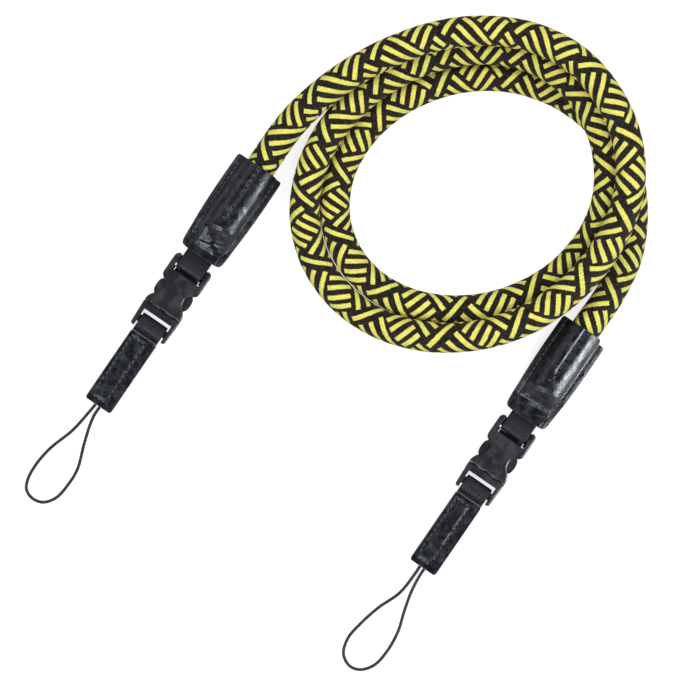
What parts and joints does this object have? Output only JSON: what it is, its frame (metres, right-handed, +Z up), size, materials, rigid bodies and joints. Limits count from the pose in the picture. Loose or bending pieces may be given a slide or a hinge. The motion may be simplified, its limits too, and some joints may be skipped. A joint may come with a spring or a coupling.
{
  "type": "coiled braided camera strap",
  "caption": "Soft round woven strap lying in a coil, with leather end sleeves, small side-release buckles, leather tabs and thin cord loops.",
  "frame": {"origin": "on the table, under the middle of the strap without its two cord loops", "axes": "+Z up from the table; +X to the right and +Y away from the viewer as it is seen from above, with both strap ends towards -X -Y"},
  "size_m": [0.2149, 0.2255, 0.0292],
  "materials": {
    "rope": "soft knitted tube, yellow and black weave",
    "leather": "smooth black, half gloss",
    "band": "finely woven black",
    "buckle": "matte moulded black",
    "cord": "thin black braid"
  },
  "bodies": {
    "root": {"rope": "rope", "sleeve_upper_left": "leather", "sleeve_lower_left": "leather", "upper_band_left": "band", "buckle_socket_left": "buckle", "buckle_plug_left": "buckle", "lower_band_left": "band", "tab_front_left": "leather", "tab_back_left": "leather", "loop_cord_left": "cord", "sleeve_upper_right": "leather", "sleeve_lower_right": "leather", "upper_band_right": "band", "buckle_socket_right": "buckle", "buckle_plug_right": "buckle", "lower_band_right": "band", "tab_front_right": "leather", "tab_back_right": "leather", "loop_cord_right": "cord"}
  },
  "joints": []
}
